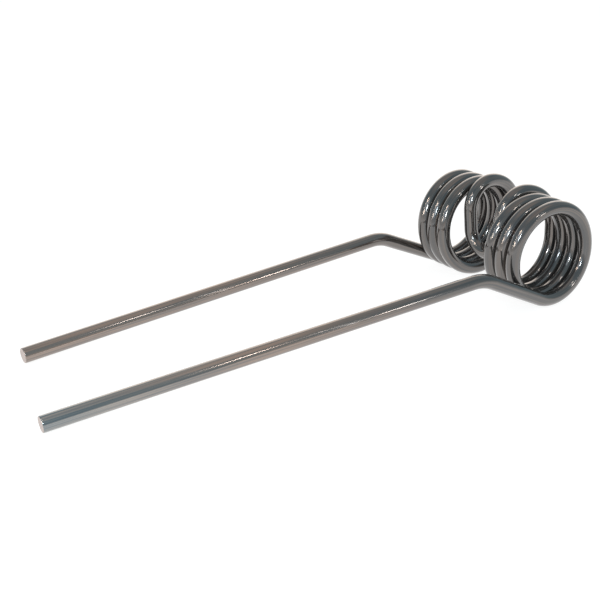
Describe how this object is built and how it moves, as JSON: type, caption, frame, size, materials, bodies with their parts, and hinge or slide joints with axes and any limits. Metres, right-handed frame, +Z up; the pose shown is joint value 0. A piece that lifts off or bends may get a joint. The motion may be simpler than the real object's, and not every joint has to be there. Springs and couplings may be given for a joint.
{
  "type": "tedder spring tine",
  "caption": "Spring tine that turns and spreads hay: round wire wound into opposed coils, joined by a hairpin loop, each running out over a knee into a long straight leg.",
  "frame": {"origin": "under the middle of the piece's bounding box, at the level of the floor that it lies on", "axes": "+X from the leg tips to the coils, +Y along the coils' axis from the long leg to the short one, +Z up; the piece lies on both coils and both leg tips"},
  "size_m": [0.3887, 0.1164, 0.075],
  "materials": {
    "spring_wire": "oil-tempered spring wire, dark grey and glossy under a thin clear coat, with bare cropped ends"
  },
  "bodies": {
    "root": {"spring_tine": "spring_wire"}
  },
  "joints": []
}
